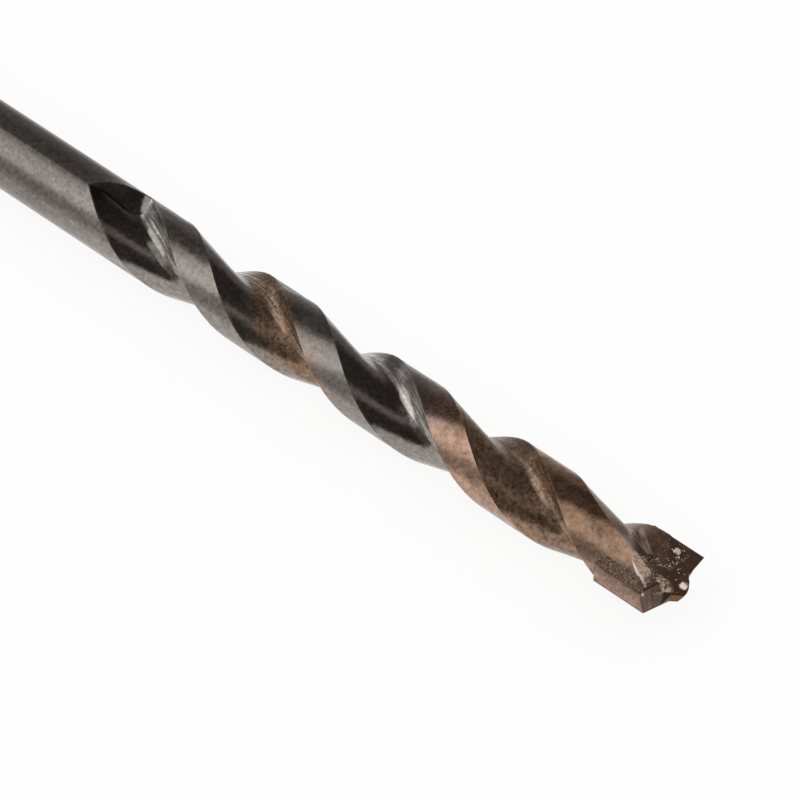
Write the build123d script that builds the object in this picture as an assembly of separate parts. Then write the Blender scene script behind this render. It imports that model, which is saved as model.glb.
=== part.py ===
from build123d import *
import math
import os

# A masonry drill bit: a round steel rod with a plain shank, two right-hand flutes
# and a carbide plate brazed into a slot across its head.
# It is modelled along +Z with the plate across X, then laid on its side, tip to +X.

# rod, mm
overall_length = 120.0
rod_diameter = 8.0
shank_chamfer = 0.5
shank_length = 41.3       # to where the flutes start
back_taper = 0.015        # growth of the fluted rod's radius from there to the tip
flute_pitch = 34.1        # one full turn of a flute

# flute section, seen along the rod
flute_opening = 118.4     # degrees from the steep wall's edge to the gentle heel's edge
web_thickness = 4.24      # steel left between the two flute floors
wall_foot_angle = 20.35   # degrees from the wall's edge to its foot
foot_rounding = 0.62      # from the wall's foot to where its rounding starts, on both sides
floor_width = 1.37
heel_exit = 71.7          # degrees between the heel and the radius at its edge
heel_fullness = 0.39      # how far the heel's curve holds its end directions
cutter_radius = 8.0       # of the round cutter that starts each flute
cutter_sink = 0.27        # how far the cutter goes below the flute floor
cutter_lead = 49.0        # degrees from the wall's edge to the cutter's middle
run_out = 1.6             # from the shank's end to the middle of a flute's round start

# head, with lengths back from the tip
straight_length = 6.5     # the steep walls run straight over this length
twist_fade = 1.5          # before and after that the twist dies away over this much
heel_drift_from = 14.0    # from here the heels turn less than the walls
heel_drift_to = 5.5
heel_drift = 1.6          # degrees they stay behind after 1 mm
heel_drift_power = 1.5
heel_turn = 1.7           # how much faster than that the heel's edge turns outward
floor_turn = 0.27         # and its foot
wall_lead = 40.0          # degrees from the plate's end to the wall's edge, at the tip
thinning_from = 8.2       # the web gets thinner between these
thinning_to = 5.2
thinned_foot = 1.25       # radius of the wall's foot after that
shoulder_slope = 56.3     # degrees from square, steel beside the plate
gash_from = 6.0           # the flat cut across each heel starts here on the heel's edge
gash_start = -54.0        # degrees from the plate's end to there
gash_heading = 241.9      # direction in which it faces, in degrees round the axis
gash_rise = 28.1          # and in degrees towards the tip

# carbide plate
head_diameter = 10.0
plate_thickness = 1.9
plate_side = 6.1          # length of the plate's straight outer sides
rear_chamfer_across = 1.0
rear_chamfer_along = 0.7
edge_angle = 9.5          # degrees that each cutting edge rises to the middle
relief_angle = 28.0       # degrees that the top falls behind a cutting edge
nub_height = 1.6          # centre point above the outer corners
nub_half_width = 1.28
nub_side_angle = 41.4
nub_relief_angle = 45.5
nub_crown = 0.35          # half width of the blunt crown
nub_crown_drop = 0.1

# braze: a layer in the slot and a fillet behind each end of the plate
braze_gap = 0.08
fillet_reach = 0.85       # up the plate, from the rod
fillet_spread = 11.0      # degrees round the rod
fillet_setback = 0.2      # of its end from the plate's rear

# how the bit lies: degrees from +Y up to the plate's leading end
roll = 162.5

rod_radius = rod_diameter / 2
head_radius = head_diameter / 2
corner_z = overall_length - nub_height
plate_rear = corner_z - plate_side - rear_chamfer_along
half_plate = plate_thickness / 2
relief_drop = plate_thickness * math.tan(math.radians(relief_angle))
shoulder_z = corner_z - relief_drop
foot_radius = web_thickness / 2 / math.cos(math.radians(90 - flute_opening + wall_foot_angle))
turn_per_mm = 360 / flute_pitch
twist_end = overall_length - straight_length
drift_start = overall_length - heel_drift_from
thinning_end = overall_length - thinning_to

# the cutting tools: how far they reach past the rod, and their size
reach = 1.4 * rod_radius
past_edge = 0.35
clear_angle = 30.0
big = 3 * rod_diameter
loft_steps = 12

def polar(radius, degrees):
    return Vector(radius, 0, 0).rotate(Axis.Z, degrees)

def helix_angle(z):
    return wall_lead + turn_per_mm * (z - twist_end)

def wall_angle(z):
    if z <= twist_end - twist_fade:
        return helix_angle(z)
    left = max(twist_end + twist_fade - z, 0.0)
    return wall_lead - turn_per_mm * left ** 2 / (4 * twist_fade)

def heel_angle(z):
    z = min(z, overall_length - heel_drift_to)
    drift = heel_drift * max(z - drift_start, 0.0) ** heel_drift_power
    return helix_angle(z) + flute_opening - drift

def flute_section(z):
    """The space of one flute at the height z."""
    wall = wall_angle(z)
    heel_edge = heel_angle(z)
    closing = wall + flute_opening - heel_edge
    thinning = (z - overall_length + thinning_from) / (thinning_from - thinning_to)
    thinning = min(max(thinning, 0.0), 1.0)
    foot = polar(foot_radius + (thinned_foot - foot_radius) * thinning, wall + wall_foot_angle)
    edge = polar(rod_radius, wall)
    wall_way = (edge - foot).normalized()
    wall_top = edge + wall_way * (reach - rod_radius)
    floor_way = polar(1, wall + flute_opening - floor_turn * closing)
    floor_end = foot + floor_way * floor_width
    wall_end = foot + wall_way * foot_rounding
    floor_start = foot + floor_way * foot_rounding
    heel_way = polar(1, heel_edge + heel_exit - heel_turn * closing)
    heel_end = polar(rod_radius, heel_edge) + heel_way * past_edge
    handle = (heel_end - floor_end).length * heel_fullness
    heel = Bezier(floor_end, floor_end + floor_way * handle, heel_end - heel_way * handle, heel_end)
    outside = Polyline(
        heel_end,
        polar(reach, heel_edge + clear_angle),
        polar(reach, heel_edge - clear_angle),
        polar(reach, wall + clear_angle),
        wall_top,
    )
    ring = Wire(
        [
            Line(wall_top, wall_end).edge(),
            Bezier(wall_end, foot, floor_start).edge(),
            Line(floor_start, floor_end).edge(),
            heel.edge(),
            *outside.edges(),
        ]
    )
    return Pos(0, 0, z) * Face(ring)

def flute_start_stop():
    """Steel that the round cutter leaves standing at the start of a flute."""
    bottom = foot_radius - cutter_sink
    depth = rod_radius - bottom
    run = math.sqrt(2 * cutter_radius * depth - depth ** 2)
    middle_radius = (rod_radius + foot_radius) / 2
    helix = math.atan(2 * math.pi * middle_radius / flute_pitch)
    z = shank_length + run_out + run * math.cos(helix)
    middle = wall_angle(z) + cutter_lead
    out = polar(1, middle)
    around = polar(1, middle + 90)
    along = around * math.sin(helix) + Vector(0, 0, 1) * math.cos(helix)
    spindle = around * math.cos(helix) - Vector(0, 0, 1) * math.sin(helix)
    centre = out * (bottom + cutter_radius) + Vector(0, 0, z)
    place = Plane(origin=centre, x_dir=along, z_dir=spindle)
    stop = Box(big, 2 * big, big, align=(Align.MAX, Align.CENTER, Align.CENTER))
    return place.location * (stop - Cylinder(cutter_radius, big))

def flute():
    start = shank_length - cutter_radius
    path = Line((0, 0, start), (0, 0, drift_start))
    guide = Helix(flute_pitch, drift_start - start, rod_radius, center=(0, 0, start))
    twisted = sweep(flute_section(start), path=path, binormal=guide.edge())
    step = (thinning_end - drift_start) / loft_steps
    head = loft([flute_section(drift_start + step * i) for i in range(loft_steps + 1)])
    past_tip = overall_length + 1
    straight = extrude(flute_section(thinning_end), past_tip - thinning_end, dir=(0, 0, 1))
    return [twisted - flute_start_stop(), head, straight]

def above(point, normal):
    upper = Box(big, big, big, align=(Align.CENTER, Align.CENTER, Align.MIN))
    return Plane(origin=point, z_dir=normal).location * upper

def both(shape):
    return [shape, shape.rotate(Axis.Z, 180)]

def shoulders():
    """What is cut off the rod's end beside the plate."""
    slope = math.radians(shoulder_slope)
    return both(above((0, -half_plate, shoulder_z), (0, -math.sin(slope), math.cos(slope))))

def gashes():
    """The flat cuts that take the heels away beside the plate, down to the walls."""
    rise = math.radians(gash_rise)
    facing = polar(math.cos(rise), gash_heading) + Vector(0, 0, math.sin(rise))
    start = polar(rod_radius, gash_start) + Vector(0, 0, overall_length - gash_from)
    foot = polar(thinned_foot, 180 + wall_lead + wall_foot_angle)
    wall_way = polar(rod_radius, 180 + wall_lead) - foot
    beside_wall = above((foot.X, foot.Y, shoulder_z), (-wall_way.Y, wall_way.X, 0))
    beside_plate = above((0, -half_plate, shoulder_z), (0, -1, 0))
    return both(above(start, facing) & beside_wall & beside_plate)

def rod():
    shank = Cylinder(rod_radius, shank_length, align=(Align.CENTER, Align.CENTER, Align.MIN))
    shank = chamfer(shank.faces().sort_by(Axis.Z)[0].edges(), shank_chamfer)
    fluted_length = overall_length - shank_length
    tip_radius = rod_radius + back_taper
    fluted = Cone(rod_radius, tip_radius, fluted_length, align=(Align.CENTER, Align.CENTER, Align.MIN))
    body = shank + Pos(0, 0, shank_length) * fluted
    for piece in flute():
        for cut in both(piece):
            body -= cut
    for cut in shoulders() + gashes():
        body -= cut
    return body

def slot(gap):
    width = plate_thickness + 2 * gap
    bottom = plate_rear - gap
    return Pos(0, 0, bottom) * Box(big, width, big, align=(Align.CENTER, Align.CENTER, Align.MIN))

def plate():
    inward = math.tan(math.radians(edge_angle))
    valley_z = corner_z + (head_radius - nub_half_width) * inward
    side = [
        (head_radius - rear_chamfer_across, plate_rear),
        (head_radius, plate_rear + rear_chamfer_along),
        (head_radius, corner_z),
        (nub_half_width, valley_z),
        (nub_crown, overall_length - nub_crown_drop),
        (0, overall_length),
    ]
    outline = side + [(-x, z) for x, z in reversed(side[:-1])]
    face = Plane.XZ * make_face(Polyline(*outline, close=True))
    body = extrude(face, half_plate, both=True)
    body &= Cylinder(head_radius, 2 * overall_length)
    relief = math.tan(math.radians(relief_angle))
    nub_side = math.tan(math.radians(nub_side_angle))
    nub_relief = math.tan(math.radians(nub_relief_angle))
    main = above((head_radius, half_plate, corner_z), (inward, -relief, 1))
    flank = above((0, 0, overall_length), (nub_side, -nub_relief, 1))
    for cut in both(main & flank):
        body -= cut
    return body

def braze(blank):
    layer = (blank & slot(braze_gap)) - slot(0)
    root = math.degrees(math.asin(half_plate / rod_radius))
    bead = Polyline(
        (rod_radius - fillet_reach, -half_plate),
        (rod_radius + fillet_reach, -half_plate),
        polar(rod_radius, -root - fillet_spread),
        close=True,
    )
    bead_start = plate_rear + fillet_setback
    bead_body = Pos(0, 0, bead_start) * extrude(make_face(bead), shoulder_z - bead_start)
    for cut in shoulders():
        bead_body -= cut
    for piece in both(bead_body - blank):
        layer += piece
    return layer

def lay_down(shape):
    turned = polar(1, roll)
    place = Plane(origin=(0, 0, 0), x_dir=(0, turned.X, turned.Y), z_dir=(1, 0, 0))
    return place.location * shape

blank = rod()
steel = blank - slot(braze_gap)

os.makedirs("parts", exist_ok=True)
nodes = {"steel_body": steel, "carbide_tip": plate(), "braze_joint": braze(blank)}
for name, shape in nodes.items():
    laid = lay_down(shape)
    print(name, len(laid.solids()), round(laid.volume, 2), laid.is_valid)
    export_step(laid, f"parts/{name}.step")
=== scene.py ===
import math
from types import SimpleNamespace

import bpy
from mathutils import Matrix, Vector


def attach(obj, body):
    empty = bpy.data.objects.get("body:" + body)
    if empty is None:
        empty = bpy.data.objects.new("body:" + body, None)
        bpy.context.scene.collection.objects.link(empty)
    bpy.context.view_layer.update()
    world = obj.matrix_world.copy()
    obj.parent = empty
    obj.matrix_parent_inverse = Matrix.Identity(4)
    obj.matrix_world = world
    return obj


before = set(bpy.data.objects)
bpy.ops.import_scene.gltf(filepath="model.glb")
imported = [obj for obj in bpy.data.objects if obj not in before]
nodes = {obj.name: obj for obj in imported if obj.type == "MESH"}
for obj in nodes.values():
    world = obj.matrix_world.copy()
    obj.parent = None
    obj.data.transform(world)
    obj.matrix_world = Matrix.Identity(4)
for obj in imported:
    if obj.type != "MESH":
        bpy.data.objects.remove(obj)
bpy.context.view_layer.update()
scene = bpy.context.scene
scene.view_settings.view_transform = "Standard"
print("frame loaded:", sorted(nodes))


# a socket that Python's own operators work on
class Wire:
    def __init__(self, tree, socket=None):
        self.tree, self.socket = tree, socket

    # any other node; a list as an input joins its parts, a list as out gives each output
    def node(self, kind, settings=None, inputs=None, out=0):
        made = self.tree.nodes.new(kind)
        for name, value in (settings or {}).items():
            if name == "stops":
                fillRamp(made.color_ramp, value)
            else:
                setattr(made, name, value)
        for name, value in (inputs or {}).items():
            for part in value if isinstance(value, list) else [value]:
                if isinstance(part, Wire):
                    self.tree.links.new(part.socket, made.inputs[name])
                else:
                    made.inputs[name].default_value = part
        if isinstance(out, list):
            return [Wire(self.tree, made.outputs[which]) for which in out]
        return Wire(self.tree, made.outputs[out]) if len(made.outputs) else None

    def maths(self, operation, *others):
        values = dict(enumerate((self, *others)))
        return self.node("ShaderNodeMath", {"operation": operation}, values)

    def __add__(self, other):
        return self.maths("ADD", other)

    def __sub__(self, other):
        return self.maths("SUBTRACT", other)

    def __rsub__(self, other):
        return self.maths("MULTIPLY_ADD", -1.0, other)

    def __mul__(self, other):
        return self.maths("MULTIPLY", other)

    def __truediv__(self, other):
        return self.maths("DIVIDE", other)

    def __mod__(self, other):
        return self.maths("MODULO", other)

    def __pow__(self, other):
        return self.maths("POWER", other)

    def __abs__(self):
        return self.maths("ABSOLUTE")

    def __neg__(self):
        return self * -1.0

    __radd__ = __add__
    __rmul__ = __mul__

    def fade(self, start, end):  # 0 at start, 1 at end, smooth between
        values = dict(enumerate((self, start, end, 0.0, 1.0)))
        return self.node("ShaderNodeMapRange", {"interpolation_type": "SMOOTHSTEP"}, values)

    def fall(self, start, end):  # 1 at start, 0 at end
        return 1 - self.fade(start, end)

    def band(self, start, end, soft):  # 1 between start and end, with soft ends
        return self.fade(start - soft, start + soft) * self.fall(end - soft, end + soft)

    def over(self, below, above):  # colour mix, this wire is the factor
        values = {0: self, 6: below, 7: above}
        return self.node("ShaderNodeMix", {"data_type": "RGBA"}, values, 2)

    def times(self, colour):
        settings = {"data_type": "RGBA", "blend_type": "MULTIPLY"}
        return self.node("ShaderNodeMix", settings, {0: 1.0, 6: colour, 7: self}, 2)


def fillRamp(ramp, stops):
    while len(ramp.elements) < len(stops):
        ramp.elements.new(0.5)
    for element, (place, colour) in zip(ramp.elements, stops):
        element.position = place
        element.color = colour


def rgb(red, green, blue):
    return (red, green, blue, 1.0)


def newTree(block):
    block.use_nodes = True
    block.node_tree.nodes.clear()
    return Wire(block.node_tree)


def split(wires, vector):
    return wires.node("ShaderNodeSeparateXYZ", inputs={0: vector}, out=[0, 1, 2])


def joined(wires, x, y, z):
    return wires.node("ShaderNodeCombineXYZ", inputs={0: x, 1: y, 2: z})


def noise(wires, spot, scale, detail, rough):
    inputs = {"Vector": spot, "Scale": scale, "Detail": detail, "Roughness": rough}
    return wires.node("ShaderNodeTexNoise", inputs=inputs)


# camera, where the photograph was taken from; degrees and metres, the lens in mm
shot = {
    "azimuth": 40.0,
    "elevation": 51.28,
    "lens": 188.4,
    "aim": (0.09927, 0.0, 0.0),
    "aimRight": 0.01217,
    "aimDown": 0.00856,
    "distance": 0.418,
}


def makeCamera():
    turn, lift = math.radians(shot["azimuth"]), math.radians(shot["elevation"])
    level = math.cos(lift)
    right = Vector((math.cos(turn), math.sin(turn), 0))
    back = Vector((math.sin(turn) * level, -math.cos(turn) * level, math.sin(lift)))
    up = back.cross(right)
    place = Vector(shot["aim"]) - right * shot["aimRight"] + up * shot["aimDown"]
    data = bpy.data.cameras.new("camera")
    data.sensor_width = 36
    data.lens = shot["lens"]
    data.clip_start, data.clip_end = 0.01, 20
    camera = bpy.data.objects.new("camera", data)
    matrix = Matrix((right, up, back)).transposed().to_4x4()
    matrix.translation = place + back * shot["distance"]
    camera.matrix_world = matrix
    scene.collection.objects.link(camera)
    scene.camera = camera


# room that metal mirrors; the spans are of the direction's x, y or z
room = {
    "even": rgb(0.9, 0.9, 0.9),  # light on all that doesn't mirror
    "dark": rgb(0.046, 0.042, 0.039),
    "low": rgb(0.27, 0.26, 0.25),  # behind the bit, near the floor
    "lowFrom": (0.05, 0.4),
    "lowTop": (0.0, 0.65),
    "high": rgb(0.31, 0.30, 0.29),  # in front of it, above
    "highSpan": (0.3, 0.62, 0.12),
    "highFoot": (0.2, 0.5),
    "highEdge": (-0.2, -0.08),
    "side": rgb(0.45, 0.45, 0.45),  # in front of it, towards the shank
    "sideFrom": (0.05, 0.45),
    "sideFront": (0.1, 0.6),
    "end": rgb(0.6, 0.6, 0.6),  # beyond the shank's end
    "endFrom": (0.5, 0.72),
    "far": rgb(0.22, 0.22, 0.22),  # middle of that
    "farFrom": (0.8, 0.9),
    "pane": rgb(1.0, 1.0, 1.0),  # window there, near the floor
    "paneFrom": (-0.15, 0.1),
    "paneFoot": (0.0, 0.12),
    "paneTop": (0.17, 0.33),
    "paneLean": 0.7,
}


def lightPath(wires):
    rays = ["Is Camera Ray", "Is Transmission Ray", "Is Glossy Ray"]
    camera, through, glossy = wires.node("ShaderNodeLightPath", out=rays)
    return camera.maths("MAXIMUM", through), glossy


def makeWorld():
    world = bpy.data.worlds.new("studio")
    scene.world = world
    wires = newTree(world)
    shown, glossy = lightPath(wires)
    x, y, z = split(wires, wires.node("ShaderNodeTexCoord"))
    toShank, toFront = -x, -y
    low = y.fade(*room["lowFrom"]) * z.fall(*room["lowTop"])
    high = toFront.band(*room["highSpan"]) * z.fade(*room["highFoot"])
    high = high * x.fade(*room["highEdge"])
    side = toShank.fade(*room["sideFrom"]) * toFront.fade(*room["sideFront"])
    end, far = toShank.fade(*room["endFrom"]), toShank.fade(*room["farFrom"])
    pane = end * toFront.fade(*room["paneFrom"]) * z.fade(*room["paneFoot"])
    pane = pane * (z + y * room["paneLean"]).fall(*room["paneTop"])
    mirrored = high.over(low.over(room["dark"], room["low"]), room["high"])
    mirrored = end.over(side.over(mirrored, room["side"]), room["end"])
    mirrored = pane.over(far.over(mirrored, room["far"]), room["pane"])
    colour = shown.over(glossy.over(room["even"], mirrored), rgb(1, 1, 1))
    sky = wires.node("ShaderNodeBackground", inputs={0: colour, 1: 1.0})
    wires.node("ShaderNodeOutputWorld", inputs={0: sky})


# floor and lamp, in metres
studio = {
    "floorHeight": -0.004,
    "floorSize": 8.0,
    "floorColour": rgb(0.86, 0.86, 0.85),
    "floorWhite": 0.9,  # share of plain white that the floor shows
    "floorDim": 0.25,  # what metal sees of that, away from the bit
    "dimBehind": (0.002, 0.04),
    "dimInFront": (0.012, 0.08),
    "dimFrontShare": 0.95,
    "aim": (0.08, 0.0, 0.0),
    "lampTurn": 118.0,  # degrees round the X axis from +Y
    "lampBack": 32.0,  # degrees from there towards -X
    "lampDistance": 1.2,
    "lampSize": (0.73, 1.22),
    "lampWatts": 2.95,
}


def makeFloor():
    half, height = studio["floorSize"] / 2, studio["floorHeight"]
    mesh = bpy.data.meshes.new("floor")
    corners = [(-half, -half), (half, -half), (half, half), (-half, half)]
    mesh.from_pydata([(x, y, height) for x, y in corners], [], [(0, 1, 2, 3)])
    floor = bpy.data.objects.new("floor", mesh)
    scene.collection.objects.link(floor)
    material = bpy.data.materials.new("paleFloor")
    wires = newTree(material)
    shown, glossy = lightPath(wires)
    y = split(wires, wires.node("ShaderNodeTexCoord", out=3))[1]
    dimFront = (-y).fade(*studio["dimInFront"]) * studio["dimFrontShare"]
    lit = 1 - (y.fade(*studio["dimBehind"]) + dimFront) * (1 - studio["floorDim"])
    matt = wires.node("ShaderNodeBsdfDiffuse", inputs={0: studio["floorColour"]})
    white = wires.node("ShaderNodeEmission", inputs={0: rgb(1, 1, 1), 1: 1.0})
    share = shown * studio["floorWhite"]
    seen = wires.node("ShaderNodeMixShader", inputs={0: share, 1: matt, 2: white})
    inMetal = wires.node("ShaderNodeEmission", inputs={0: lit, 1: 1.0})
    surface = wires.node("ShaderNodeMixShader", inputs={0: glossy, 1: seen, 2: inMetal})
    wires.node("ShaderNodeOutputMaterial", inputs={0: surface})
    mesh.materials.append(material)


def makeLamp():
    turn, lean = math.radians(studio["lampTurn"]), math.radians(studio["lampBack"])
    level = math.cos(lean)
    out = Vector((-math.sin(lean), level * math.cos(turn), level * math.sin(turn)))
    down = Vector((0, -math.sin(turn), math.cos(turn)))
    data = bpy.data.lights.new("softBox", "AREA")
    data.shape = "RECTANGLE"
    data.size, data.size_y = studio["lampSize"]
    data.energy = studio["lampWatts"]
    lamp = bpy.data.objects.new("softBox", data)
    matrix = Matrix((down.cross(out), down, out)).transposed().to_4x4()
    matrix.translation = Vector(studio["aim"]) + out * studio["lampDistance"]
    lamp.matrix_world = matrix
    scene.collection.objects.link(lamp)


makeCamera()
makeWorld()
makeFloor()
makeLamp()
print("studio made")


def spotInMm(wires, spot=None):  # the object's own coordinates, unless others are given
    spot = spot or wires.node("ShaderNodeTexCoord", out=3)
    return wires.node("ShaderNodeVectorMath", {"operation": "SCALE"}, {0: spot, 3: 1000.0})


# where a point is, measured from the plate
def readPlate(wires, spot):
    turn = math.radians(plate["turn"])
    at = SimpleNamespace(spot=spot)
    at.x, at.y, at.z = split(wires, spot)
    at.along = at.y * math.cos(turn) + at.z * math.sin(turn)
    at.across = at.z * math.cos(turn) - at.y * math.sin(turn)
    at.wide, at.deep = abs(at.along), abs(at.across)
    at.handed = at.along * at.across  # above 0 on the gashes' side of the plate
    return at


def finishMaterial(wires, colour, metallic, roughness, height, bump):
    strength, depth = bump
    heights = {"Strength": strength, "Distance": depth / 1000, "Height": height}
    normal = wires.node("ShaderNodeBump", inputs=heights)
    inputs = {"Base Color": colour, "Metallic": metallic, "Roughness": roughness}
    surface = wires.node("ShaderNodeBsdfPrincipled", inputs={**inputs, "Normal": normal})
    wires.node("ShaderNodeOutputMaterial", inputs={0: surface})


# steel rod; spans are mm along it, and degrees past the edge of a flute's wall; the third
# number of some is how soft the ends are
rod = {
    "rim": (3.88, 3.94),  # mm from the axis; the lands are outside it
    "pitch": 34.1,
    "wallAt": 202.5,  # degrees round the rod to a wall's edge, where the twist ends
    "twistEnd": 113.5,
    "shankEnd": (40.5, 41.0),
    "shankFade": (36.0, 46.0),
    "shankDim": 0.22,
    "grey": rgb(0.275, 0.245, 0.222),
    "tintStart": 80.0,  # temper colours of the lands
    "tintLength": 40.0,
    "tint": [
        (0.0, rgb(0.275, 0.245, 0.222)),
        (0.12, rgb(0.275, 0.235, 0.215)),
        (0.18, rgb(0.38, 0.26, 0.24)),
        (0.26, rgb(0.43, 0.28, 0.205)),
        (0.6, rgb(0.385, 0.232, 0.157)),
        (0.82, rgb(0.31, 0.19, 0.13)),
        (1.0, rgb(0.24, 0.15, 0.11)),
    ],
    "halo": rgb(0.43, 0.28, 0.205),  # on a land, beside the brown flute
    "haloSpan": (67.0, 77.0, 3.0),
    "haloTurn": (338.0, 356.0),
    "haloCloud": (-0.15, 0.1),
    "byPlate": rgb(0.32, 0.21, 0.145),
    "byPlateWide": (2.2, 3.7),
    "byPlateSpan": (103.0, 111.0),
    "brown": rgb(0.25, 0.157, 0.106),
    "brownSpan": (58.0, 63.0),
    "brownLater": 31.0,  # mm that one flute stays grey after the other
    "brownLean": 18.0,  # degrees in 1 mm
    "heelTurn": (75.0, 95.0),  # where the brown flute is still grey
    "heelSpan": (74.0, 82.0),
    "heelGrey": 0.6,
    # painted shade in the round starts of the flutes
    "runOutSpan": (45.0, 49.0),
    "runOutStart": (42.5, 44.5),
    "runOutDark": 0.7,
    "runOutLess": 0.4,
    # a noise has a scale, a detail and a roughness
    "texture": {
        "grain": (2.4, 5.0, 0.75),
        "cloud": (0.35, 4.0, 0.6),
        "patchy": (0.9, 4.0, 0.65),
        "fine": (8.0, 3.0, 0.7),
        "streaks": (1.0, 5.0, 0.7),
        "streakStretch": (0.15, 4.0, 20.0),  # along the rod, away from it, between flutes
        "streakShare": (0.35, 0.55),
        "tintWander": 4.0,
        "byPlateWander": 6.0,
        "brownWander": 8.0,
        "speckle": 2.0,
        "speckleBrown": 1.8,
        "speckleHead": 3.0,
        "speckleSpan": (109.0, 112.0),
        "patches": 0.3,
        "patchesBrown": 0.8,
        "patchesHead": 0.6,
        "patchesSpan": (78.0, 100.0),
        "pits": 0.35,
        "pitSize": (0.68, 0.76),
        "pitSpan": (60.0, 85.0),
        "marginHighlight": 0.15,  # painted highlight along the edges of the lands
        "marginFirst": (0.5, 2.5),
        "marginLast": (177.0, 179.0),
        "marginAway": (3.6, 3.9),
        "marginSpan": (108.0, 110.0),
    },
    # each number is added by the share of what it is named for
    "shine": {
        "rough": 0.29,
        "roughCut": -0.12,
        "roughBrown": 0.1,
        "roughGrain": 0.2,
        "roughFacet": 0.25,
        "metal": 1.0,
        "metalBrown": -0.15,
        "metalFacet": -0.4,
        "metalReflection": -0.25,
        "bump": (0.3, 0.04),  # strength, and depth in mm
        "bumpFine": 0.5,
        "bumpStreaks": 1.5,
        "bumpGrain": 0.4,
        "bumpBrown": 1.6,
    },
    # steep walls of the flutes, with painted shade and scratches brightened as painted glints, and
    # the painted reflection band that crosses each grey flute
    "wall": {
        "turn": (17.0, 24.0),
        "end": (107.0, 112.0),
        "share": 0.7,
        # painted shade on the steep walls
        "dark": rgb(0.15, 0.14, 0.13),
        "wallShadeBrown": rgb(0.12, 0.065, 0.038),
        # scratches, painted bright as glints
        "scratchesAndGlints": rgb(0.70, 0.66, 0.62),
        "scratchesAndGlintsBrown": rgb(0.38, 0.28, 0.205),
        "scratchGlintShare": (0.43, 0.57),
        "fewerHead": (85.0, 98.0),  # where there are fewer scratches and painted glints, and by what share
        "lessHead": 0.45,
        "fewerRim": (2.8, 3.5),
        "lessRim": 0.55,
        "lessRimBrown": 0.3,
        "fewerMiddle": (79.0, 82.6, 0.4),
        "lessMiddle": 0.6,
        # painted reflection band: where it lies, how it leans and fades, and its colours
        "stripeAt": 44.5,
        "stripeStep": 17.5,
        "stripeLean": 19.5,  # degrees in 1 mm
        "stripeHalf": (0.35, 0.85),
        "stripeEnd": (86.5, 87.5),
        "stripeWeak": (79.0, 83.0, 0.5),
        "stripeLess": 0.7,
        "stripeStreaks": 0.25,
        "stripeStart": (46.9, 48.2),
        "stripeBright": rgb(0.97, 0.95, 0.93),  # up to stripeStart
        "stripeDull": rgb(0.29, 0.275, 0.26),
        "stripeMiddle": rgb(0.42, 0.40, 0.38),
        "stripeLighter": (60.0, 80.0),
    },
    # steel round the plate
    "head": {
        "flute": rgb(0.20, 0.125, 0.09),
        "fluteSpan": (110.0, 114.0),
        "gash": rgb(0.15, 0.088, 0.060),
        "gashSpan": (112.0, 114.0),
        "gashSide": (-0.5, 0.5),
        "foot": rgb(0.60, 0.46, 0.37),  # rounded foot of the wall, where it meets the gash
        "footSpan": (111.9, 114.7, 0.3),
        "footFrom": 112.15,
        "footLean": 0.65,
        "footAway": (2.55, 3.15, 0.2),
        "footShare": 0.6,
        "footFull": (113.0, 114.2),
        "footMore": 0.35,
        "facet": rgb(0.74, 0.53, 0.42),  # bare steel behind each cutting edge
        "facetSlope": (117.15, 117.35),
        "facetEnd": (116.4, 117.0),
        "facetBare": (-0.2, 0.15),
        "edgeHighlight": rgb(0.95, 0.78, 0.72),  # painted highlight along its outer edge
        "edgeHighlightSlope": (116.95, 117.15),
        "edgeHighlightAway": (3.72, 3.9),
        "edgeHighlightMore": (116.0, 116.5),
        "edgeHighlightWider": 0.2,
        "edgeHighlightWide": (3.1, 3.4),
    },
}
texture, shine, wall, head = [rod[part] for part in ("texture", "shine", "wall", "head")]


# one flute turns brown early, the other only near the head
def brownShare(at):
    place = at.x + at.cloud * texture["brownWander"]
    place = place - (at.first * rod["brownLater"] + at.inFlute / rod["brownLean"])
    greyHeel = at.inFlute.fade(*rod["heelTurn"]) * at.x.fall(*rod["heelSpan"])
    return place.fade(*rod["brownSpan"]) * (1 - greyHeel * rod["heelGrey"])


# painted reflection: the band is steeper than the flute, and comes again at each step
def stripeShare(at):
    step = wall["stripeStep"]
    place = at.x - (at.angle + 360) % 180.0 / wall["stripeLean"] - wall["stripeAt"]
    offset = abs((place + 6.5 * step) % step - step / 2)  # 6 steps keep it above 0
    stripe = offset.fall(*wall["stripeHalf"]) * at.cut * (1 - at.brown)
    stripe = stripe * at.x.fall(*wall["stripeEnd"])
    streakyReflection = at.streaks.fade(*texture["streakShare"]) * wall["stripeStreaks"]
    stripe = stripe * (streakyReflection + (1 - wall["stripeStreaks"]))
    return stripe * (1 - at.x.band(*wall["stripeWeak"]) * wall["stripeLess"])


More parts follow.
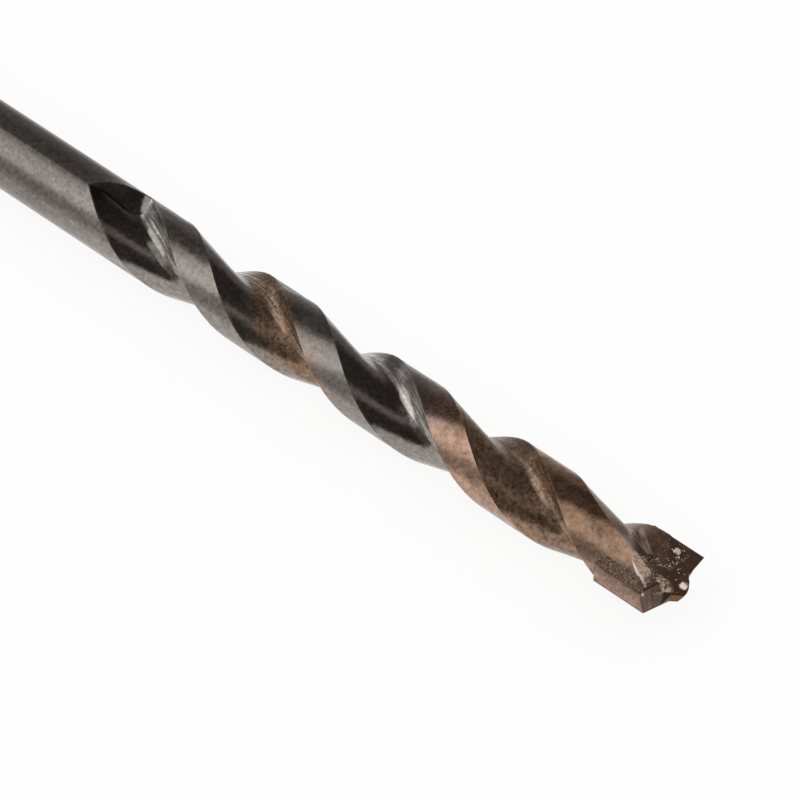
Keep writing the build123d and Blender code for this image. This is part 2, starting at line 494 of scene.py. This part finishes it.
# where a point is on the rod, and the masks that its colours share
def readRod(wires):
    at = readPlate(wires, spotInMm(wires))
    at.away = (at.y * at.y + at.z * at.z) ** 0.5
    at.angle = at.z.maths("ARCTAN2", at.y) * math.degrees(1)
    twisted = (at.x - rod["twistEnd"]).maths("MINIMUM", 0.0)
    turned = at.angle - twisted * (360 / rod["pitch"])
    at.turned = (turned + (3600 - rod["wallAt"])) % 360.0  # 10 turns keep it above 0
    at.inFlute = at.turned % 180.0
    at.first = at.turned.maths("GREATER_THAN", 180.0)
    at.land = 1 - at.x.fade(*rod["shankEnd"]) * at.away.fall(*rod["rim"])
    at.cut = 1 - at.land
    at.grain = noise(wires, at.spot, *texture["grain"]) - 0.5
    at.cloud = noise(wires, at.spot, *texture["cloud"]) - 0.5
    at.patchy = noise(wires, at.spot, *texture["patchy"]) - 0.5
    at.fine = noise(wires, at.spot, *texture["fine"])
    along, outward, apart = texture["streakStretch"]
    drawn = joined(wires, at.x * along, at.away * outward, at.first * apart)
    at.streaks = noise(wires, drawn, *texture["streaks"])
    at.gashSide = at.handed.fade(*head["gashSide"])
    at.wall = at.inFlute.fall(*wall["turn"]) * at.cut * at.x.fall(*wall["end"])
    at.brown = brownShare(at)
    at.inBrown = at.cut * at.brown
    at.start = at.x.fall(*wall["stripeStart"])
    at.stripe = stripeShare(at)
    return at


def landColour(wires, at):
    place = at.x + at.cloud * texture["tintWander"] - rod["tintStart"]
    place = {0: place / rod["tintLength"]}
    colour = wires.node("ShaderNodeValToRGB", {"stops": rod["tint"]}, place)
    shade = at.x.fade(*rod["shankFade"]) * rod["shankDim"] + (1 - rod["shankDim"])
    halo = at.turned.fade(*rod["haloTurn"]) * at.x.band(*rod["haloSpan"])
    halo = halo * at.cloud.fade(*rod["haloCloud"])
    colour = halo.over(shade.times(colour), rod["halo"])
    near = (at.x + at.cloud * texture["byPlateWander"]).fade(*rod["byPlateSpan"])
    return (near * at.wide.fade(*rod["byPlateWide"])).over(colour, rod["byPlate"])


def fluteColour(at):
    colour = at.brown.over(rod["grey"], rod["brown"])
    colour = at.x.fade(*head["fluteSpan"]).over(colour, head["flute"])
    gash = at.x.fade(*head["gashSpan"]) * at.gashSide
    colour = gash.over(colour, head["gash"])
    foot = (at.away + (at.x - head["footFrom"]) * head["footLean"]).band(*head["footAway"])
    foot = foot * at.x.band(*head["footSpan"]) * at.gashSide
    foot = foot * (at.x.fade(*head["footFull"]) * head["footMore"] + head["footShare"])
    colour = foot.over(colour, head["foot"])
    # painted shade darkens the steep walls; their scratches are painted bright as glints
    dark = at.brown.over(wall["dark"], wall["wallShadeBrown"])
    colour = (at.wall * wall["share"]).over(colour, dark)
    scratchesAndGlints = at.wall * at.streaks.fade(*wall["scratchGlintShare"])
    scratchesAndGlints = scratchesAndGlints * (1 - at.x.fade(*wall["fewerHead"]) * wall["lessHead"])
    lessRim = at.brown * wall["lessRimBrown"] + wall["lessRim"]
    scratchesAndGlints = scratchesAndGlints * (1 - at.away.fade(*wall["fewerRim"]) * lessRim)
    scratchesAndGlints = scratchesAndGlints * (1 - at.x.band(*wall["fewerMiddle"]) * wall["lessMiddle"])
    bright = at.brown.over(wall["scratchesAndGlints"], wall["scratchesAndGlintsBrown"])
    colour = scratchesAndGlints.over(colour, bright)
    # painted reflection band over the flute colour, brightest at the flutes' starts
    lighter = at.x.fade(*wall["stripeLighter"])
    stripe = lighter.over(wall["stripeDull"], wall["stripeMiddle"])
    return at.stripe.over(colour, at.start.over(stripe, wall["stripeBright"]))


def mottled(at, colour):
    speckle = texture["speckleBrown"] - at.x.fade(*texture["speckleSpan"]) * texture["speckleHead"]
    speckle = at.grain * (at.inBrown * speckle + texture["speckle"])
    patches = at.x.fade(*texture["patchesSpan"]) * texture["patchesHead"] + texture["patches"]
    patches = at.patchy * (at.brown * texture["patchesBrown"] + patches)
    pits = at.fine.fade(*texture["pitSize"]) * at.x.fade(*texture["pitSpan"]) * texture["pits"]
    colour = (speckle + patches - pits + 1).times(colour)
    # painted highlight along the edges of the lands, broken up by the streaks
    marginHighlight = at.inFlute.fall(*texture["marginFirst"]) + at.inFlute.fade(*texture["marginLast"])
    marginHighlight = marginHighlight * at.away.fade(*texture["marginAway"]) * at.x.fall(*texture["marginSpan"])
    marginHighlight = marginHighlight * at.streaks.fade(*texture["streakShare"]) * texture["marginHighlight"]
    return (marginHighlight + 1).times(colour)


def makeSteel():
    material = bpy.data.materials.new("flutedSteel")
    wires = newTree(material)
    at = readRod(wires)
    colour = mottled(at, at.land.over(fluteColour(at), landColour(wires, at)))
    # the facets beside the plate
    slope = at.x + (at.deep - plate["half"]) * plate["slope"]
    behind = 1 - at.gashSide
    facet = slope.fade(*head["facetSlope"]) * behind * at.x.fall(*head["facetEnd"])
    bare = at.grain.fade(*head["facetBare"]).over(head["flute"], head["facet"])
    # painted highlight along the outer edge of the facets behind the cutting edges
    wider = at.x.fade(*head["edgeHighlightMore"]) * head["edgeHighlightWider"]
    edgeHighlight = (at.away + wider).fade(*head["edgeHighlightAway"])
    edgeHighlight = edgeHighlight * slope.fade(*head["edgeHighlightSlope"]) * behind * at.wide.fade(*head["edgeHighlightWide"])
    colour = edgeHighlight.over(facet.over(colour, bare), head["edgeHighlight"])
    # painted shade: the round starts of the flutes are darkened, except under the painted
    # reflection band
    runOutShade = at.x.fall(*rod["runOutSpan"]) * at.cut * (1 - at.stripe)
    darker = rod["runOutDark"] - at.x.fade(*rod["runOutStart"]) * rod["runOutLess"]
    colour = (1 - runOutShade * darker).times(colour)
    roughness = at.cut * (at.brown * shine["roughBrown"] + shine["roughCut"])
    roughness = roughness + at.grain * shine["roughGrain"] + facet * shine["roughFacet"]
    metallic = at.inBrown * shine["metalBrown"] + facet * shine["metalFacet"]
    metallic = metallic + at.stripe * at.start * shine["metalReflection"] + shine["metal"]
    height = (at.fine - 0.5) * shine["bumpFine"]
    height = height + (at.streaks - 0.5) * at.wall * shine["bumpStreaks"]
    height = height + at.grain * (at.inBrown * shine["bumpBrown"] + shine["bumpGrain"])
    finishMaterial(wires, colour, metallic, roughness + shine["rough"], height, shine["bump"])
    return material


# carbide plate, in mm
plate = {
    "turn": 162.5,  # degrees round the rod from +Y to its width
    "half": 0.95,  # of its thickness
    "slope": 1.5,  # of the steel's end beside it
    "grain": (6.0, 5.0, 0.7),
    "cloud": (0.8, 3.0, 0.55),
    "patches": (2.5, 4.0, 0.65),
    "bump": (0.3, 0.03),
    "rough": 0.38,
    "roughGrain": 0.3,
    "roughHighlightSpatter": 0.2,
    "metal": 0.85,
    "metalHighlightSpatter": -0.7,
    "dark": rgb(0.19, 0.118, 0.085),
    "light": rgb(0.37, 0.25, 0.195),
    "lightCloud": (0.3, 0.7),
    "lightCloudShare": 0.5,
    "lightPatch": 0.45,
    "lightPatchShare": 2.4,
    "rimWide": (4.9, 4.97),
    "rimLight": 0.32,
    "rake": rgb(0.15, 0.085, 0.052),
    "rakeFrom": (112.2, 113.5),
    "rakeSkin": (0.80, 0.9),
    "rakeSpan": (115.5, 117.5),
    "top": (117.3, 117.8),
    "topWide": (3.3, 3.9),
    "topWideLess": 0.7,
    "topDim": 0.45,
    "point": rgb(0.18, 0.094, 0.046),
    "pointSpan": (118.55, 118.75),
    "pointWide": (1.3, 1.6),
    "spatter": rgb(0.50, 0.38, 0.29),
    "spatterWide": (1.0, 2.0, 0.25),
    "spatterSide": (0.0, 0.15),
    "spatterSpan": (116.5, 117.0),
    "spatterShare": (0.88, 1.04),
    "nubHighlight": rgb(0.90, 0.74, 0.68),  # painted highlight
    "nubAt": (119.4, -0.05, -0.6),
    "nubSpan": (118.9, 119.1),
    "nubReach": (0.04, 0.27),  # squares of its radii
    "nubRagged": 0.6,
}


def makeCarbide():
    material = bpy.data.materials.new("sinteredCarbide")
    wires = newTree(material)
    at = readPlate(wires, spotInMm(wires))
    grain, cloud, patches = [
        noise(wires, at.spot, *plate[name]) for name in ("grain", "cloud", "patches")
    ]
    skin = at.x.fade(*plate["rakeFrom"]) * at.deep.fade(*plate["rakeSkin"])
    inside = 1 - skin
    lighter = (patches - plate["lightPatch"]) * plate["lightPatchShare"] * inside
    lighter = cloud.fade(*plate["lightCloud"]) * plate["lightCloudShare"] + lighter
    colour = lighter.over(plate["dark"], plate["light"])
    colour = (at.wide.fade(*plate["rimWide"]) * plate["rimLight"] + 1).times(colour)
    onTop = 1 - at.wide.fade(*plate["topWide"]) * plate["topWideLess"]
    onTop = at.x.fade(*plate["top"]) * inside * onTop
    colour = (1 - onTop * plate["topDim"]).times(colour)
    colour = (skin * at.x.fade(*plate["rakeSpan"])).over(colour, plate["rake"])
    point = at.x.fade(*plate["pointSpan"]) * at.wide.fall(*plate["pointWide"])
    colour = point.over(colour, plate["point"])
    spatter = at.wide.band(*plate["spatterWide"]) * (-at.handed).fade(*plate["spatterSide"])
    spatter = spatter * at.x.fade(*plate["spatterSpan"])
    spatter = spatter * (patches + grain).fade(*plate["spatterShare"])
    colour = spatter.over(colour, plate["spatter"])
    # painted highlight on the rounded centre point; it is also rougher and less metallic
    pairs = zip((at.x, at.along, at.across), plate["nubAt"])
    ragged = (patches - 0.5) * plate["nubRagged"]
    reach = sum(((place - middle) ** 2 for place, middle in pairs), ragged)
    nubHighlight = reach.fall(*plate["nubReach"]) * at.x.fade(*plate["nubSpan"])
    colour = nubHighlight.over(colour, plate["nubHighlight"])
    highlightAndSpatter = nubHighlight + spatter
    roughness = (grain - 0.5) * plate["roughGrain"] + highlightAndSpatter * plate["roughHighlightSpatter"]
    metallic = highlightAndSpatter * plate["metalHighlightSpatter"] + plate["metal"]
    finishMaterial(wires, colour, metallic, roughness + plate["rough"], grain, plate["bump"])
    return material


# brazing metal
brazing = {
    "clean": rgb(0.58, 0.40, 0.29),
    "flux": rgb(0.13, 0.082, 0.056),
    "cleanShare": (0.42, 0.66),
    "lumps": (5.0, 5.0, 0.75),
    "grain": (9.0, 4.0, 0.7),
    "grainHeight": 0.4,
    "bump": (0.9, 0.12),
    "rough": 0.5,
    "roughClean": -0.1,
    "smoothShare": (0.5, 0.7),
    "metal": 0.8,
    "bead": rgb(0.80, 0.65, 0.52),
    "beadTarnish": (3.0, 3.0, 0.6),
    "beadShare": (0.4, 0.6),
    "beadBump": (0.3, 0.03),
    "beadRough": 0.4,
    "beadRoughTarnish": 0.1,
    "beadMetal": 0.35,
}


def makeBrazing():
    material = bpy.data.materials.new("brazingMetal")
    wires = newTree(material)
    spot = spotInMm(wires)
    lumps, grain = [noise(wires, spot, *brazing[name]) for name in ("lumps", "grain")]
    colour = lumps.fade(*brazing["cleanShare"]).over(brazing["flux"], brazing["clean"])
    roughness = lumps.fade(*brazing["smoothShare"]) * brazing["roughClean"] + brazing["rough"]
    height = lumps + grain * brazing["grainHeight"]
    finishMaterial(wires, colour, brazing["metal"], roughness, height, brazing["bump"])
    return material


def makeBeadMetal():
    material = bpy.data.materials.new("beadMetal")
    wires = newTree(material)
    tarnish = noise(wires, spotInMm(wires), *brazing["beadTarnish"])
    colour = tarnish.fade(*brazing["beadShare"]).over(brazing["clean"], brazing["bead"])
    roughness = tarnish * brazing["beadRoughTarnish"] + brazing["beadRough"]
    metallic, bump = brazing["beadMetal"], brazing["beadBump"]
    finishMaterial(wires, colour, metallic, roughness, tarnish, bump)
    return material


# drops of brazing metal on the faces beside the plate, in mm
drops = {
    "perSquareMm": 70.0,
    "reach": 1.2,  # how far from the plate they lie
    "smallest": 0.02,  # radii of the scattered ones
    "largest": 0.10,
    "flat": 0.5,  # height as a share of the radius
    "gap": 0.15,  # faces nearer to each other than this get none
    "lift": 0.01,  # start of the ray that looks for one, above its face
    "sides": 8,
    "rings": 5,
    "seed": 4,
    "span": (115.2, 116.0),
    "spanEnd": (117.6, 118.2),
    "inner": (0.2, 0.8),
    "outer": (3.3, 4.2),
    "besideFrom": (-0.1, -0.03),
    "behindWide": (2.3, 2.9),
    "behindSide": (0.0, 0.5),
    "patches": (1.2, 2.0, 0.5),
    "patchShare": (0.38, 0.58),
    "placed": [  # middle and radius of the large ones
        (116.45, 3.08, 0.68, 0.42),
        (116.3, 2.75, 0.9, 0.2),
        (116.9, 2.7, 0.5, 0.16),
        (117.59, -4.09, 2.05, 0.2),
        (116.2, 0.6, 0.9, 0.13),
        (117.0, 1.2, 0.7, 0.14),
        (117.2, 1.9, 0.5, 0.12),
    ],
}


def newGroup(name, numbers):
    tree = bpy.data.node_groups.new(name, "GeometryNodeTree")
    tree.is_modifier = True
    tree.interface.new_socket("Geometry", in_out="INPUT", socket_type="NodeSocketGeometry")
    for number in numbers:
        tree.interface.new_socket(number, in_out="INPUT", socket_type="NodeSocketFloat")
    tree.interface.new_socket("Geometry", in_out="OUTPUT", socket_type="NodeSocketGeometry")
    names = ["Geometry", *numbers]
    return tree, dict(zip(names, Wire(tree).node("NodeGroupInput", out=names)))


def dropShare(wires, at, reach):
    beside = at.deep - plate["half"]
    share = beside.fall(0.0, reach) * at.x.fade(*drops["span"]) * at.x.fall(*drops["spanEnd"])
    share = share * at.wide.fade(*drops["inner"]) * at.wide.fall(*drops["outer"])
    share = share * beside.fade(*drops["besideFrom"])
    behind = at.wide.fade(*drops["behindWide"]) * (-at.handed).fade(*drops["behindSide"])
    patches = noise(wires, at.spot, *drops["patches"])
    return share * (1 - behind) * patches.fade(*drops["patchShare"])


def scatterTree(material):
    tree, given = newGroup("beads", ("perSquareMm", "reach", "smallest", "largest", "flat"))
    wires = Wire(tree)

    def gather(*parts):
        return wires.node("GeometryNodeJoinGeometry", inputs={0: list(parts)})

    def facesOf(name):
        settings = {"transform_space": "ORIGINAL"}
        return wires.node("GeometryNodeObjectInfo", settings, {"Object": nodes[name]}, 4)

    def stored(name, kind):
        settings = {"data_type": kind}
        return wires.node("GeometryNodeInputNamedAttribute", settings, {"Name": name})

    place = wires.node("GeometryNodeInputPosition")
    share = dropShare(wires, readPlate(wires, spotInMm(wires, place)), given["reach"])
    steel, carbide, joint = map(facesOf, ("steel_body", "carbide_tip", "braze_joint"))
    inputs = {"Mesh": gather(steel, carbide), "Density": share * given["perSquareMm"] * 1e6}
    inputs["Seed"] = drops["seed"]
    outputs = ["Points", "Normal", "Rotation"]
    scattered = wires.node("GeometryNodeDistributePointsOnFaces", inputs=inputs, out=outputs)
    points, outward, turn = scattered

    # none where the plate and the slot face each other
    lift = (drops["lift"] / 1000,) * 3
    lifted = {0: outward, 1: lift, 2: place}
    lifted = wires.node("ShaderNodeVectorMath", {"operation": "MULTIPLY_ADD"}, lifted)
    inputs = {"Target Geometry": gather(steel, carbide, joint), "Source Position": lifted}
    inputs.update({"Ray Direction": outward, "Ray Length": drops["gap"] / 1000})
    covered = wires.node("GeometryNodeRaycast", inputs=inputs)

    unitBall = {"Segments": drops["sides"], "Rings": drops["rings"], "Radius": 0.001}
    ball = wires.node("GeometryNodeMeshUVSphere", inputs=unitBall)

    def balls(points, chosen, turn, size):
        inputs = {"Points": points, "Selection": chosen, "Instance": ball, "Rotation": turn}
        inputs["Scale"] = joined(wires, size, size, size * given["flat"])
        return wires.node("GeometryNodeInstanceOnPoints", inputs=inputs)

    draw = {2: 0.0, 3: 1.0, 8: drops["seed"]}
    chance = wires.node("FunctionNodeRandomValue", {"data_type": "FLOAT"}, draw, 1)
    size = given["smallest"] + (given["largest"] - given["smallest"]) * chance**3
    fine = balls(points, 1 - covered, turn, size)
    lean = {"Vector": stored("lean", "FLOAT_VECTOR")}
    turn = wires.node("FunctionNodeAlignRotationToVector", {"axis": "Z"}, lean)
    points = wires.node("GeometryNodeMeshToPoints", inputs={"Mesh": given["Geometry"]})
    large = balls(points, True, turn, stored("size", "FLOAT"))
    whole = wires.node("GeometryNodeRealizeInstances", inputs={0: gather(fine, large)})
    whole = wires.node("GeometryNodeSetShadeSmooth", inputs={"Geometry": whole})
    inputs = {"Geometry": whole, "Material": material}
    whole = wires.node("GeometryNodeSetMaterial", inputs=inputs)
    wires.node("NodeGroupOutput", inputs={0: whole})
    return tree


# each large drop sits on the nearest face, and again half a turn round
def placedMesh():
    places, leans, radii = [], [], []
    carriers = [nodes[name] for name in ("steel_body", "carbide_tip")]
    for x, y, z, size in drops["placed"]:
        spot = Vector((x, y, z)) / 1000
        found = [carrier.closest_point_on_mesh(spot)[1:3] for carrier in carriers]
        place, lean = min(found, key=lambda pair: (pair[0] - spot).length)
        for side in (1, -1):
            places.append((place.x, place.y * side, place.z * side))
            leans.extend((lean.x, lean.y * side, lean.z * side))
            radii.append(size)
    mesh = bpy.data.meshes.new("brazeDrops")
    mesh.from_pydata(places, [], [])
    mesh.attributes.new("lean", "FLOAT_VECTOR", "POINT").data.foreach_set("vector", leans)
    mesh.attributes.new("size", "FLOAT", "POINT").data.foreach_set("value", radii)
    return mesh


def makeDrops():
    made = bpy.data.objects.new("brazeDrops", placedMesh())
    scene.collection.objects.link(made)
    tree = scatterTree(makeBeadMetal())
    modifier = made.modifiers.new("beads", "NODES")
    modifier.node_group = tree
    for socket in tree.interface.items_tree:
        if socket.in_out == "INPUT" and socket.name in drops:
            modifier[socket.identifier] = drops[socket.name]
    evaluated = made.evaluated_get(bpy.context.evaluated_depsgraph_get())
    done = bpy.data.meshes.new_from_object(evaluated)
    made.modifiers.clear()
    made.data = done
    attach(made, "root")
    print("drops of braze:", len(done.polygons), "faces")


makers = {"steel_body": makeSteel, "carbide_tip": makeCarbide, "braze_joint": makeBrazing}
for name, maker in makers.items():
    nodes[name].data.materials.clear()
    nodes[name].data.materials.append(maker())
print("materials made")
makeDrops()
